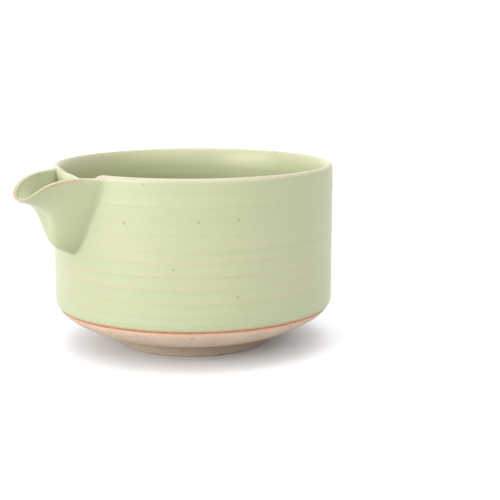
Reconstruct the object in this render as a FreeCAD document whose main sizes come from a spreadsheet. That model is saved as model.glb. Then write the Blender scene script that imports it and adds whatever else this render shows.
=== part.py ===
# Matcha bowl with a pouring spout: stoneware, pale green glaze, bare clay foot.
# Millimetres. +Z is up, the origin is the centre of the foot's resting face,
# and the spout points along -X.
import FreeCAD
import Part
import Sketcher
import math
import os

from FreeCAD import Vector

# Every driving size: alias, value, meaning.
SIZES = [
    ("wall_radius", 61.65, "outside of the clay wall"),
    ("rim_height", 79.75, "top of the clay rim"),
    ("rim_round", 1.45, "half the clay's thickness at the rim, a full round"),
    ("corner_radius", 9.0, "outside corner where the wall turns in"),
    ("corner_top", 21.26, "height where that corner starts"),
    ("limb_outer", 57.55, "radius where the underside meets the corner"),
    ("limb_height", 13.71, "height there"),
    ("limb_curve", 60.6, "radius of the bowed underside"),
    ("limb_inner", 40.44, "inner end of the bowed underside"),
    ("limb_low", 5.81, "height there"),
    ("foot_radius", 34.8, "outside of the foot ring where it is luted on"),
    ("foot_top", 4.7, "height there"),
    ("foot_edge", 34.4, "outside of the foot ring at the table"),
    ("foot_round", 0.7, "rounding of the foot's lower edges"),
    ("recess_radius", 29.5, "inside of the foot ring"),
    ("recess_height", 4.0, "underside of the floor inside the ring"),
    ("floor_edge", 40.3, "radius where the floor turns up"),
    ("floor_edge_height", 10.6, "height there"),
    ("floor_centre", 9.8, "floor at the centre, slightly dished"),
    ("inner_corner", 17.0, "inside corner between floor and wall"),
    ("glaze", 0.35, "thickness of a coat of glaze"),
    ("glaze_edge", 18.4, "lower edge of the outside glaze"),
    ("glaze_foot", 61.55, "outside of the glaze at that edge"),
    ("line_low", 17.4, "lower edge of the iron line"),
    ("line_foot", 60.95, "outside of the iron line at its lower edge"),
    ("line_head", 61.34, "outside of the iron line under the glaze"),
    ("line_stand", 0.15, "how far the iron line stands out from the clay"),
    ("core_floor", 8.0, "a height inside the clay of the floor"),
    ("core_limb", 43.8, "a radius inside the clay of the floor"),
    ("dip_radius", 73.0, "curve of the dip in the rim behind the spout"),
    ("dip_depth", 2.0, "depth of that dip at the inside of the rim"),
    ("dip_tilt", 23.0, "fall of the dip towards the spout, degrees"),
    ("dip_reach", 18.0, "how far the cut for the dip runs through the wall"),
    ("trim_height", 98.0, "top of the upright cylinders that trim the spout"),
    ("spout_wall", 3.0, "thickness of the spout with its glaze, at the wall"),
    ("lip_wall", 2.2, "thickness of the spout's lip at the tip"),
    ("coil_width", 1.8, "how far the luting coil covers the wall"),
    ("coil_height", 1.5, "how far it climbs along the spout"),
    ("coil_drop", 1.8, "how far below the lip it ends"),
    ("root_out", 61.8, "underside of the spout: out from the axis"),
    ("root_height", 45.94, "height there"),
    ("belly_out", 83.85, "first pull of the underside's curve"),
    ("belly_height", 51.38, "height there"),
    ("throat_out", 62.15, "second pull of the underside's curve"),
    ("throat_height", 63.17, "height there"),
    ("tip_out", 85.78, "tip of the spout: out from the axis"),
    ("tip_under", 69.6, "underside of the tip"),
    ("tip_top", 70.86, "top of the lip at the tip"),
    ("tip_pull", 12.13, "half width of the pull that rounds the tip"),
    ("lip_root_out", 57.1, "lip of the spout at the wall: out from the axis"),
    ("lip_root_half", 22.39, "half width there"),
    ("lip_root_height", 79.94, "height there"),
    ("lip_near_out", 69.44, "first pull of the lip's curve"),
    ("lip_near_half", 14.73, "half width there"),
    ("lip_near_height", 79.02, "height there"),
    ("lip_far_out", 82.51, "second pull of the lip's curve"),
    ("lip_far_half", 11.09, "half width there"),
    ("lip_far_height", 81.45, "height there"),
    ("section_root", 1.36, "shape of the spout's section at the wall, 1 is a V"),
    ("section_tip", 2.19, "shape of the section at the tip, 2 is a U"),
]
SIZE = {name: value for name, value, meaning in SIZES}

doc = FreeCAD.newDocument("matcha_bowl")
sheet = doc.addObject("Spreadsheet::Sheet", "sizes")
for row, (name, value, meaning) in enumerate(SIZES, start=1):
    sheet.set("A%d" % row, meaning)
    sheet.set("B%d" % row, str(value))
    sheet.setAlias("B%d" % row, name)
doc.recompute()


def number(words):
    """Value of a sum of sizes, such as "wall_radius - rim_round"."""
    total = 0.0
    sign = 1.0
    for word in words.split():
        if word in "+-":
            sign = -1.0 if word == "-" else 1.0
        else:
            total += sign * SIZE[word]
    return total


def formula(words):
    """The same sum as an expression on the spreadsheet."""
    return " ".join(word if word in "+-" else "sizes." + word for word in words.split())


def origin_plane(body, role):
    """One of a body's own origin planes or axes."""
    return next(item for item in body.Origin.OriginFeatures if item.Role == role)


def new_body(label):
    body = doc.addObject("PartDesign::Body", label)
    body.Label = label
    return body


def new_sketch(body, name, role):
    """A sketch on one of the body's origin planes."""
    sketch = body.newObject("Sketcher::SketchObject", name)
    sketch.AttachmentSupport = [(origin_plane(body, role), "")]
    sketch.MapMode = "FlatFace"
    return sketch


def arc_between(start, end, radius, turn):
    """Arc from start to end; turn is +1 for a left turn and -1 for a right one."""
    chord = end - start
    height = math.sqrt(max(radius ** 2 - (chord.Length / 2) ** 2, 0.0))
    side = Vector(-chord.y, chord.x, 0).normalize() * (turn * height)
    centre = start + chord * 0.5 + side
    first, last = (start, end) if turn > 0 else (end, start)
    angles = [math.atan2(p.y - centre.y, p.x - centre.x) for p in (first, last)]
    if angles[1] < angles[0]:
        angles[1] += 2 * math.pi
    circle = Part.Circle(centre, Vector(0, 0, 1), radius)
    return Part.ArcOfCircle(circle, angles[0], angles[1])


def place(sketch, kind, point, words):
    """Hold a point of the sketch at a distance from its origin, bound to the sheet."""
    rule = sketch.addConstraint(Sketcher.Constraint(kind, -1, 1, *point, number(words)))
    sketch.setExpression("Constraints[%d]" % rule, formula(words))


def closed_outline(sketch, corners):
    """Closed outline in a sketch, every corner and radius bound to the sheet.

    A corner is (across, up) or (across, up, radius, turn), where the last two
    describe an arc from this corner to the next. "axis" is zero across and
    "table" is zero up.
    """
    points = []
    for corner in corners:
        across = 0.0 if corner[0] == "axis" else number(corner[0])
        up = 0.0 if corner[1] == "table" else number(corner[1])
        points.append(Vector(across, up, 0))
    starts = []
    ends = []
    for index, corner in enumerate(corners):
        start = points[index]
        end = points[(index + 1) % len(points)]
        if len(corner) == 4:
            edge = sketch.addGeometry(arc_between(start, end, number(corner[2]), corner[3]))
            starts.append((edge, 1 if corner[3] > 0 else 2))
            ends.append((edge, 2 if corner[3] > 0 else 1))
            fix = sketch.addConstraint(Sketcher.Constraint("Radius", edge, number(corner[2])))
            sketch.setExpression("Constraints[%d]" % fix, formula(corner[2]))
        else:
            edge = sketch.addGeometry(Part.LineSegment(start, end))
            starts.append((edge, 1))
            ends.append((edge, 2))
    for index, corner in enumerate(corners):
        sketch.addConstraint(Sketcher.Constraint("Coincident", *ends[index - 1], *starts[index]))
        if corner[0] == "axis":
            sketch.addConstraint(Sketcher.Constraint("PointOnObject", *starts[index], -2))
        else:
            place(sketch, "DistanceX", starts[index], corner[0])
        if corner[1] == "table":
            sketch.addConstraint(Sketcher.Constraint("PointOnObject", *starts[index], -1))
        else:
            place(sketch, "DistanceY", starts[index], corner[1])


def revolve(label, corners):
    """A body turned about Z from an outline in the XZ plane."""
    body = new_body(label)
    sketch = new_sketch(body, label + "_profile", "XZ_Plane")
    closed_outline(sketch, corners)
    turned = body.newObject("PartDesign::Revolution", label + "_turned")
    turned.Profile = sketch
    turned.ReferenceAxis = (sketch, ["V_Axis"])
    turned.Angle = 360
    doc.recompute()
    return body


def cut_dip(body, cover):
    """Cut the shallow dip through the rim on the spout's side.

    cover is a sum for the glaze that stays on the clay in the dip.
    """
    before = body.Shape.Volume
    sketch = new_sketch(body, body.Label + "_dip_outline", "YZ_Plane")
    circle = sketch.addGeometry(Part.Circle(Vector(0, SIZE["dip_radius"], 0), Vector(0, 0, 1),
                                            SIZE["dip_radius"]))
    rule = sketch.addConstraint(Sketcher.Constraint("Radius", circle, SIZE["dip_radius"]))
    sketch.setExpression("Constraints[%d]" % rule, "sizes.dip_radius")
    sketch.addConstraint(Sketcher.Constraint("PointOnObject", circle, 3, -2))
    sketch.addConstraint(Sketcher.Constraint("Tangent", circle, -1))
    sketch.AttachmentOffset = FreeCAD.Placement(Vector(), FreeCAD.Rotation(Vector(1, 0, 0), -1))
    sketch.setExpression(".AttachmentOffset.Base.y", "sizes.rim_height - sizes.dip_depth" + cover)
    sketch.setExpression(".AttachmentOffset.Base.z", "2 * sizes.rim_round - sizes.wall_radius")
    sketch.setExpression(".AttachmentOffset.Rotation.Angle", "-sizes.dip_tilt")
    pocket = body.newObject("PartDesign::Pocket", body.Label + "_dip")
    pocket.Profile = sketch
    pocket.Midplane = True
    pocket.setExpression("Length", "sizes.dip_reach")
    doc.recompute()
    removed = before - body.Shape.Volume
    if removed < 1.0:
        raise RuntimeError("the dip cuts nothing from " + body.Label)


def cut(label, base, tool):
    """What is left of base after tool is taken out of it."""
    result = doc.addObject("Part::Cut", label)
    result.Label = label
    result.Base = base
    result.Tool = tool
    doc.recompute()
    return result


# ---- thrown bowl ------------------------------------------------------------------
def make_bowl_body():
    """Wall, floor and rim in one thrown piece, with the dip behind the spout."""
    body = revolve("bowl_body", [
        ("axis", "recess_height"),
        ("recess_radius", "recess_height"),
        ("foot_radius", "foot_top"),
        ("limb_inner", "limb_low", "limb_curve", 1),
        ("limb_outer", "limb_height", "corner_radius", 1),
        ("wall_radius", "corner_top"),
        ("wall_radius", "rim_height - rim_round", "rim_round", 1),
        ("wall_radius - rim_round", "rim_height", "rim_round", 1),
        ("wall_radius - rim_round - rim_round", "rim_height - rim_round"),
        ("floor_edge + inner_corner", "floor_edge_height + inner_corner", "inner_corner", -1),
        ("floor_edge", "floor_edge_height"),
        ("axis", "floor_centre"),
    ])
    cut_dip(body, "")
    return body


# ---- foot -------------------------------------------------------------------------
def make_foot_ring():
    """Ring under the floor, its two lower edges rounded."""
    return revolve("foot_ring", [
        ("recess_radius + foot_round", "table"),
        ("foot_edge - foot_round", "table", "foot_round", 1),
        ("foot_edge", "foot_round"),
        ("foot_radius", "foot_top"),
        ("recess_radius", "recess_height"),
        ("recess_radius", "foot_round", "foot_round", 1),
    ])


# ---- spout ------------------------------------------------------------------------
def bezier(pulls, part):
    """Point at part, 0 to 1, of the curve with these control points.

    Before its start the curve runs on straight.
    """
    if part < 0:
        return pulls[0] + (pulls[1] - pulls[0]) * (part * (len(pulls) - 1))
    while len(pulls) > 1:
        pulls = [a * (1 - part) + b * part for a, b in zip(pulls, pulls[1:])]
    return pulls[0]


# Each point is (out from the axis, half width, height).
LIP = [
    Vector(SIZE["lip_root_out"], SIZE["lip_root_half"], SIZE["lip_root_height"]),
    Vector(SIZE["lip_near_out"], SIZE["lip_near_half"], SIZE["lip_near_height"]),
    Vector(SIZE["lip_far_out"], SIZE["lip_far_half"], SIZE["lip_far_height"]),
    Vector(SIZE["tip_out"], SIZE["tip_pull"], SIZE["tip_top"]),
    Vector(SIZE["tip_out"], 0, SIZE["tip_top"]),
]
KEEL = [
    Vector(SIZE["root_out"], 0, SIZE["root_height"]),
    Vector(SIZE["belly_out"], 0, SIZE["belly_height"]),
    Vector(SIZE["throat_out"], 0, SIZE["throat_height"]),
    Vector(SIZE["tip_out"], 0, SIZE["tip_under"]),
]
# How the inside of the keel follows from the outside, per millimetre of wall.
KEEL_SHIFT = [Vector(0, 0, 1.1), Vector(-0.8, 0, 0.8), Vector(-0.8, 0, 0.8), Vector(-0.7, 0, 0.17)]
STATIONS = [-0.12, 0.0, 0.12, 0.25, 0.38, 0.5, 0.62, 0.73, 0.83, 0.91, 0.97]


def lip_point(part, inset):
    """Lip of the spout, moved inwards in plan by inset."""
    step = 0.001
    along = bezier(LIP, part + step) - bezier(LIP, part - step)
    along.z = 0
    along.normalize()
    return bezier(LIP, part) + Vector(along.y, -along.x, 0) * inset


def keel_point(part, inset):
    """Underside of the spout in its middle plane, moved inwards by inset."""
    return bezier([pull + shift * inset for pull, shift in zip(KEEL, KEEL_SHIFT)], part)


def section(part, inset, lid, reach):
    """Closed section of the spout: a curve from lip to keel to lip, and a flat top.

    lid is how far the top lies below the lip; a reach above 1 carries the
    sides on past the lip.
    """
    thinner = min(inset, inset * SIZE["lip_wall"] / SIZE["spout_wall"])
    lip = lip_point(part, inset + (thinner - inset) * max(part, 0))
    lip.z -= lid
    keel = keel_point(part, inset)
    power = SIZE["section_root"] + (SIZE["section_tip"] - SIZE["section_root"]) * max(part, 0)
    points = []
    for step in range(-8, 9):
        side = reach * step / 8
        rise = abs(side) ** power
        point = keel + (lip - keel) * rise
        points.append(Vector(-point.x, lip.y * side, point.z))
    curve = Part.BSplineCurve()
    curve.interpolate(points)
    return Part.Wire([curve.toShape(), Part.LineSegment(points[-1], points[0]).toShape()])


def make_hull(label, inset, lid, reach):
    """Solid inside the spout's surface, moved inwards by inset."""
    hull = doc.addObject("Part::Feature", label)
    hull.Label = label
    hull.Shape = Part.makeLoft([section(part, inset, lid, reach) for part in STATIONS], True)
    return hull


def make_wall_cylinder(label, radius):
    """Upright cylinder that stands higher than the bowl."""
    cylinder = doc.addObject("Part::Cylinder", label)
    cylinder.Label = label
    cylinder.setExpression("Radius", radius)
    cylinder.setExpression("Height", "sizes.trim_height")
    return cylinder


def make_spout(wall):
    """The clay of the spout, its glaze, and both together."""
    skin = SIZE["glaze"]
    thick = SIZE["spout_wall"]
    outside = make_hull("spout_outside", 0.0, 0.0, 1.0)
    clay_outside = make_hull("spout_clay_outside", skin, skin, 1.0)
    channel = make_hull("spout_channel", thick, 0.0, 1.25)
    clay_channel = make_hull("spout_clay_channel", thick - skin, 0.0, 1.25)
    whole = cut("spout_whole", cut("spout_shell", outside, channel), wall)
    clay = cut("spout", cut("spout_clay_shell", clay_outside, clay_channel), wall)
    coat = cut("spout_glaze", whole, clay)
    return clay, coat, whole, outside


def make_luting_coil(wall, outside):
    """Roll of clay round the root of the spout, outside, on the wall."""
    wide = make_hull("coil_outside", -SIZE["coil_width"], SIZE["coil_drop"], 1.0)
    reach = make_wall_cylinder("coil_reach", "sizes.wall_radius + sizes.coil_height")
    doc.recompute()
    band = doc.addObject("Part::Common", "coil_band")
    band.Label = "coil_band"
    band.Base = cut("coil_ring", reach, wall)
    band.Tool = wide
    doc.recompute()
    return cut("luting_coil", band, outside)


# ---- glaze ------------------------------------------------------------------------
def make_outer_glaze(bowl, spout, coil):
    """Coat on the outside of the wall, from the crest of the rim to the glaze edge."""
    blank = revolve("outer_glaze_blank", [
        ("wall_radius - rim_round", "glaze_edge"),
        ("glaze_foot", "glaze_edge", "corner_radius + glaze", 1),
        ("wall_radius + glaze", "corner_top"),
        ("wall_radius + glaze", "rim_height - rim_round", "rim_round + glaze", 1),
        ("wall_radius - rim_round", "rim_height + glaze"),
    ])
    cut_dip(blank, " + sizes.glaze")
    skin = cut("outer_glaze_skin", blank, bowl)
    return cut("outer_glaze", cut("outer_glaze_open", skin, spout), coil)


def make_liner_glaze(bowl):
    """Coat inside the bowl, from the crest of the rim to the floor."""
    blank = revolve("liner_glaze_blank", [
        ("axis", "core_floor"),
        ("core_limb", "core_floor"),
        ("limb_outer", "glaze_edge"),
        ("wall_radius - rim_round", "floor_edge_height + inner_corner"),
        ("wall_radius - rim_round", "rim_height + glaze", "rim_round + glaze", 1),
        ("wall_radius - rim_round - rim_round - glaze", "rim_height - rim_round"),
        ("floor_edge + inner_corner - glaze", "floor_edge_height + inner_corner",
         "inner_corner - glaze", -1),
        ("floor_edge", "floor_edge_height + glaze"),
        ("axis", "floor_centre + glaze"),
    ])
    cut_dip(blank, " + sizes.glaze")
    return cut("liner_glaze", blank, bowl)


def make_iron_line(bowl):
    """Thin ring of iron colour on the clay, right under the edge of the glaze."""
    blank = revolve("iron_line_blank", [
        ("wall_radius - rim_round", "line_low"),
        ("line_foot", "line_low", "corner_radius + line_stand", 1),
        ("line_head", "glaze_edge"),
        ("wall_radius - rim_round", "glaze_edge"),
    ])
    return cut("iron_line", blank, bowl)


bowl_body = make_bowl_body()
foot_ring = make_foot_ring()
wall_outside = make_wall_cylinder("wall_outside", "sizes.wall_radius")
doc.recompute()
spout, spout_glaze, spout_whole, spout_outside = make_spout(wall_outside)
luting_coil = make_luting_coil(wall_outside, spout_outside)
outer_glaze = make_outer_glaze(bowl_body, spout_whole, luting_coil)
liner_glaze = make_liner_glaze(bowl_body)
iron_line = make_iron_line(bowl_body)
doc.recompute()

NODES = [bowl_body, foot_ring, spout, luting_coil, outer_glaze, liner_glaze, spout_glaze, iron_line]

for item in doc.Objects:
    if "Invalid" in item.State or "Error" in item.State:
        raise RuntimeError(item.Label + " did not build: " + ", ".join(item.State))

os.makedirs("parts", exist_ok=True)
for node in NODES:
    shape = node.Shape
    if shape.isNull() or not shape.isValid():
        raise RuntimeError(node.Label + " has no valid shape")
    shape.exportStep("parts/" + node.Label + ".step")
    box = shape.BoundBox
    print("%-12s solids %d volume %9.1f  x %.2f..%.2f  y %.2f..%.2f  z %.2f..%.2f" % (
        node.Label, len(shape.Solids), shape.Volume,
        box.XMin, box.XMax, box.YMin, box.YMax, box.ZMin, box.ZMax))
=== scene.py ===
"""Looks of the matcha bowl: thrown stoneware, pale green satin glaze, pouring spout.

Shapes are worked out in millimetres round the bowl's axis, with the spout towards -X,
and turned into metres when a mesh is made. The main heights and radii come from the
CAD nodes; the rest is named below.
"""
import math

import bmesh
import bpy
import numpy as np
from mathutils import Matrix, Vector


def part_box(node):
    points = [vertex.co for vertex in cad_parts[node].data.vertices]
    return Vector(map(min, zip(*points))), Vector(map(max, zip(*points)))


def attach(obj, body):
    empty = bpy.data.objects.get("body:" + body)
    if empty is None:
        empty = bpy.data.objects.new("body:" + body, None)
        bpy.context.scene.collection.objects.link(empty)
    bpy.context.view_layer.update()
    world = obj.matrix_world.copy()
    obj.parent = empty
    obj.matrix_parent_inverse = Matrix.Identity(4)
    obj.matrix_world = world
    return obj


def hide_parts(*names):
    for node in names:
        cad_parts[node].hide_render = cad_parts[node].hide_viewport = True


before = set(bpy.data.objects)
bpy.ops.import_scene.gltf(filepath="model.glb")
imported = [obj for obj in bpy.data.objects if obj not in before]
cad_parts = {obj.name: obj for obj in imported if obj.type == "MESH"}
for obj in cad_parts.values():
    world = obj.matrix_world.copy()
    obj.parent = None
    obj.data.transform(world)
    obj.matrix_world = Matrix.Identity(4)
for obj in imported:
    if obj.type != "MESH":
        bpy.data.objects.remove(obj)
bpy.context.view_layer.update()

MM = 0.001
TURN = 2 * math.pi


# ---- places from the CAD frame, in millimetres ---------------------------------------
def low(node, axis):
    """Lowest place of a CAD node along an axis."""
    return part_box(node)[0][axis] / MM


def high(node, axis):
    """Highest place of a CAD node along an axis."""
    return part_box(node)[1][axis] / MM


WALL = high("outer_glaze", 0)            # outside of the glazed wall
RIM_TOP = high("outer_glaze", 2)         # crest of the rim
GLAZE_LOW = low("outer_glaze", 2)        # lower edge of the outside glaze
CLAY = high("bowl_body", 0)              # outside of the clay wall
RECESS = low("bowl_body", 2)             # underside of the floor inside the foot
FLOOR = low("liner_glaze", 2)            # clay floor at the centre, inside
FOOT_TOP = high("foot_ring", 2)          # where the foot meets the bowl
FOOT_WIDE = high("foot_ring", 0)         # outside of the foot ring at its top
TIP = -low("spout_glaze", 0)             # tip of the spout, out from the axis
SKIN = WALL - CLAY                       # thickness of the glaze

# Shape of the thrown wall.
RIM_HALF = 1.8                           # round of the rim, from its crest to the outside
RIM_IN, RIM_DEEP = 2.8, 9.5              # longer round from the crest to the inside
CREST = WALL - RIM_HALF                  # radius of the crest of the rim
SHOULDER = RIM_TOP - RIM_HALF            # height where the outside starts to round over
CORNER = 9.0                             # outside corner between wall and underside
CORNER_TOP = 21.26                       # height where that corner starts
LIMB_OUT, LIMB_UP = 57.55, 13.71         # where the underside meets the corner
LIMB_IN, LIMB_LOW = 40.44, 5.81          # inner end of the bowed underside
LIMB_BOW = 60.6                          # radius of that bow
INNER_CORNER = 17.0                      # inside corner between floor and wall
FLOOR_EDGE, FLOOR_RISE = 40.3, 0.8       # where the floor turns up, and its dish
FOOT_IN = 29.5                           # inside of the foot ring
FOOT_EDGE = 34.4                         # outside of the foot ring at the table
FOOT_ROUND = 0.8                         # wiped lower edges of the foot ring
FOOT_FLARE = 0.35                        # how much the recess widens down to the table
RECESS_DISH = 0.35                       # the underside is hollow by this at the centre
BACKING = 1.7                            # extra thickness of the wall behind the spout

# The dip in the rim behind the spout: depth at the outside and the inside edge, and the
# places across it where it starts, is full, starts to end and ends.
DIP_OUT, DIP_IN = 2.85, 1.9
DIP_OUT_ACROSS = (-17.5, -11, 11, 17.8)
DIP_IN_ACROSS = (-8.5, 3, 12.2, 18.6)
DIP_END = math.radians(163)              # near end of the dip, round the rim
BESIDE_SPOUT = math.radians(150)         # rim on the near side of the spout

RIDGES = 11                              # finger ridges, from the lowest one up
RIDGE_LOW, RIDGE_PITCH = 24.0, 5.6       # lowest finger ridge, and the step between two
RIDGE_FAINT = 58                         # ridges above this height are half as strong
RIDGE_HIGH, GROOVE_DEEP = 0.055, 0.05    # relief of a ridge and of the groove under it
GROOVE_BELOW = 1.9                       # step from a ridge down to its groove, in ridge widths
GROOVE_POOL = 0.33                       # how much glaze gathers in the groove under a ridge
# Heights where the rings of the wall start, are full, start to end and end.
RINGS_OUT, RINGS_IN = (18.5, 22, 74, 78), (14, 26, 71, 76)

EDGE_LOW = GLAZE_LOW - 0.35              # mean height of the glaze edge
# Bead at the glaze edge: height above the edge and thickness; the plain coat follows.
BEAD = [(0.0, 0.0), (0.0, 0.16), (0.10, 0.29), (0.28, 0.38), (0.6, 0.42), (1.1, 0.41), (1.8, 0.38)]
BEAD_TOP = 2.2                           # the plain coat starts this far above the edge
COAT_ROWS = 188                          # rows of the plain coat on the outside
COAT_UNDER = 0.3                         # depth of the coat's hidden back under its face

LINE_HIGH, LINE_STAND = 1.3, 0.13        # height of the iron line, and how far it stands out
LINE_UNDER = 0.25                        # how far its upper edge is tucked under the glaze

# Columns round the axis of each turned piece.
COAT_COLUMNS, BODY_COLUMNS, FOOT_COLUMNS, LINE_COLUMNS = 256, 320, 256, 480

# Control points are (out from the axis, half width, height), from the wall to the tip.
LIP = np.array([[57.1, 21.64, 79.94], [68.94, 13.83, 79.02], [81.61, 10.29, 81.45],
                [84.88, 11.13, 70.86], [84.88, 0.0, 70.86]])
LIP_ROUND = 0.9                          # half height of the rounded lip
LIP_THICK = (2.8, 1.6)                   # across the lip, at the wall and at the tip
LIP_INTO_WALL = np.array([-2.0, 2.9, -1.6])
KEEL = np.array([[61.8, 0, 45.94], [83.85, 0, 51.38], [62.15, 0, 63.17], [TIP, 0, 69.6]])
KEEL_INTO_WALL = np.array([-9.0, 0, -2.2])
CORNER_FILL, CORNER_LONG = 2.3, 0.30     # fills the tight corner between channel and wall
ALONG_WALL = np.array([0.35, -0.93, 0])  # from the end of the lip towards the middle
CHANNEL_SHIFT = np.array([[0, 0, 3.4], [-2.5, 0, 2.5], [-2.5, 0, 2.5], [-2.05, 0, 0.2]])
ROOT_SHAPE, TIP_SHAPE = 1.36, 2.19       # section: 1 is a V, 2 is a U
SHAPE_DELAY = 1.7                        # how late the section turns from V to U
ROUND_KEEL = 0.36                        # roundness of the keel, as a share of the half width
NEAR_SINK = np.array([0.3, 0.9, -0.8])   # shift of the lip's near end: out, inwards, down
BLEND_LOW, BLEND_TOP = 3.6, 1.6          # reach of the soft corner on the wall
ROOT_LONG = 0.16                         # length of the root, as a share of the spout
ROOT_ROWS = 16                           # rows of the root, hidden under the glaze of the wall
SPOUT_ROWS = 86                          # rows from the wall to the tip
SPOUT_ACROSS = 91                        # points across the outside, and across the channel
LIP_ACROSS = 16                          # points over the round of the lip
MIRROR = np.array([1, -1, 1])            # turns the far side of the spout into the near one


# ---- small irregularities of hand work -----------------------------------------------
def smooth(value, start, end):
    """0 before start, 1 after end, with a soft step between."""
    part = np.clip((value - start) / (end - start), 0, 1)
    return part * part * (3 - 2 * part)


def hump(value, start, full, fade, end):
    """1 between full and fade, 0 before start and after end, with soft steps between."""
    return smooth(value, start, full) * (1 - smooth(value, fade, end))


def bell(value, middle, width):
    """Bell curve: 1 at the middle, and about a third one width away from it."""
    return np.exp(-((value - middle) / width) ** 2)


def waves(angle, up, seed, lengths, heights):
    """Sum of rings that drift slowly round the wall, as a thrower's fingers leave them."""
    dice = np.random.default_rng(seed)
    total = 0
    for length, height in zip(lengths, heights):
        spiral = dice.integers(-1, 2)
        phase, lean, swell = dice.uniform(0, TURN, 3)
        ring = np.sin(TURN * up / length + spiral * angle + phase + 0.8 * np.sin(angle + lean))
        total = total + height * ring * (0.65 + 0.35 * np.sin(2 * angle + up / 9 + swell))
    return total


def round_noise(angle, seed, turns, height):
    """Smooth periodic unevenness round the axis, from the given numbers of waves."""
    dice = np.random.default_rng(seed)
    total = 0
    for count in turns:
        total = total + np.cos(count * angle + dice.uniform(0, TURN)) / math.sqrt(count)
    return height * total / math.sqrt(len(turns))


def out_of_round(angle):
    """How far the wall is out of round, in millimetres."""
    return round_noise(angle, 3, (2, 3, 4, 5), 0.09)


def finger_ridges(angle, up):
    """Relief of the finger ridges in millimetres, how bare they ran, and the pooled grooves.

    A ridge is a thin ring every few millimetres that comes and goes round the wall,
    with a shallow groove under it where the glaze gathers.
    """
    dice = np.random.default_rng(14)
    relief = 0
    bare = 0
    pooled = 0
    for index in range(RIDGES):
        middle = RIDGE_LOW + RIDGE_PITCH * (index + dice.uniform(-0.16, 0.16))
        wander = round_noise(angle, 50 + index, (1, 2, 3, 5), 0.34)
        above = up - middle - wander
        strength = dice.uniform(0.55, 1.0) * (1.0 if middle < RIDGE_FAINT else 0.5)
        shows = strength * (0.62 + round_noise(angle, 80 + index, (1, 2, 3, 4, 7), 0.42))
        shows = np.clip(shows, 0.08, 1.0)
        width = dice.uniform(0.5, 1.0)
        ridge = bell(above, 0, width)
        groove = bell(above, -GROOVE_BELOW * width, width)
        relief = relief + shows * (RIDGE_HIGH * ridge - GROOVE_DEEP * groove)
        bare = bare + shows * ridge
        pooled = pooled + shows * groove
    return relief, bare, pooled


def outer_rings(angle, up):
    """Relief of the outside wall, fading out at the glaze edge and at the rim."""
    fine = waves(angle, up, 11, (2.3, 3.7, 9.5, 19.0), (0.006, 0.01, 0.02, 0.05))
    return (fine + finger_ridges(angle, up)[0]) * hump(up, *RINGS_OUT)


def inner_rings(angle, up):
    """Relief of the inside wall, fading out at the floor and at the rim."""
    rings = waves(angle, up, 12, (3.1, 5.2, 8.3, 14.0), (0.012, 0.03, 0.04, 0.06))
    return rings * hump(up, *RINGS_IN)


def rim_dip(angle, inside):
    """Depth of the dip in the rim; the spout is at half a turn, and inside runs 0 to 1.

    Near is the side of the dip towards -Y. The outer edge is cut wide and steep and
    the inner edge is worn down more gently on the far side.
    """
    near = -CREST * np.sin(angle)
    outer = hump(near, *DIP_OUT_ACROSS)
    inner = hump(near, *DIP_IN_ACROSS)
    depth = DIP_OUT * outer * (1 - inside) + DIP_IN * inner * inside
    return np.where(np.cos(angle) < 0, depth, 0.0)


def inside_share(across):
    """How far over the rim a radius is: 0 on the outer face and 1 on the inner one."""
    return np.clip((WALL - across) / (RIM_HALF + RIM_IN), 0, 1)


def settle(radius, up, angle, inside):
    """Moves points of the ideal bowl to the hand-made one.

    inside is 0 on the outer face and 1 on the inner one. Returns radius and height.
    The wall behind the spout is a little thicker, where it was luted on.
    """
    across = radius * np.sin(angle)
    swell = BACKING * bell(across, 3, 15) * (np.cos(angle) < 0)
    radius = radius - swell * smooth(inside, 0.25, 0.9) * smooth(up, 52, 72)
    near_rim = smooth(up, 66, 78.5)
    drop = rim_dip(angle, inside)
    rise = round_noise(angle, 5, (1, 2, 3, 5), 0.1)
    height = up + rise * smooth(up, 40, 78) - drop * near_rim
    width = radius + out_of_round(angle) * smooth(radius, 20, 50)
    return width, height


def clay_radius(up):
    """Outside radius of the clay wall at a height, down round the corner."""
    below = np.maximum(CORNER_TOP - up, 0)
    return CLAY - CORNER + np.sqrt(np.maximum(CORNER ** 2 - below ** 2, 0))


def clay_slope(up):
    """Across and up parts of the outward normal of the clay wall."""
    sine = np.clip((CORNER_TOP - up) / CORNER, 0, 1)
    return np.sqrt(1 - sine ** 2), -sine


def arc(centre, radius, start, end, count):
    """Points (across, up) on an arc, angles in degrees from the +across direction."""
    turn = np.radians(np.linspace(start, end, count))
    return np.column_stack([centre[0] + radius * np.cos(turn), centre[1] + radius * np.sin(turn)])


# ---- meshes --------------------------------------------------------------------------
def make_mesh(name, points, faces, marks, material):
    """Smooth-shaded object from points in millimetres; marks are per-point numbers."""
    mesh = bpy.data.meshes.new(name)
    mesh.from_pydata((points * MM).tolist(), [], faces)
    for mark, values in marks.items():
        layer = mesh.attributes.new(mark, "FLOAT", "POINT")
        layer.data.foreach_set("value", np.asarray(values, np.float32))
    mesh.polygons.foreach_set("use_smooth", [True] * len(mesh.polygons))
    mesh.materials.append(material)
    mesh.update()
    piece = bpy.data.objects.new(name, mesh)
    bpy.context.scene.collection.objects.link(piece)
    return piece


def grid_faces(rows, columns, wrap_rows, wrap_columns):
    """Quads of a grid whose point (row, column) has the number row * columns + column."""
    row = np.arange(rows if wrap_rows else rows - 1)
    column = np.arange(columns if wrap_columns else columns - 1)
    a, b = np.meshgrid(row, column, indexing="ij")
    next_row = (a + 1) % rows
    next_column = (b + 1) % columns
    quads = [a * columns + b, a * columns + next_column,
             next_row * columns + next_column, next_row * columns + b]
    return np.stack(quads, axis=-1).reshape(-1, 4).tolist()


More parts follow.
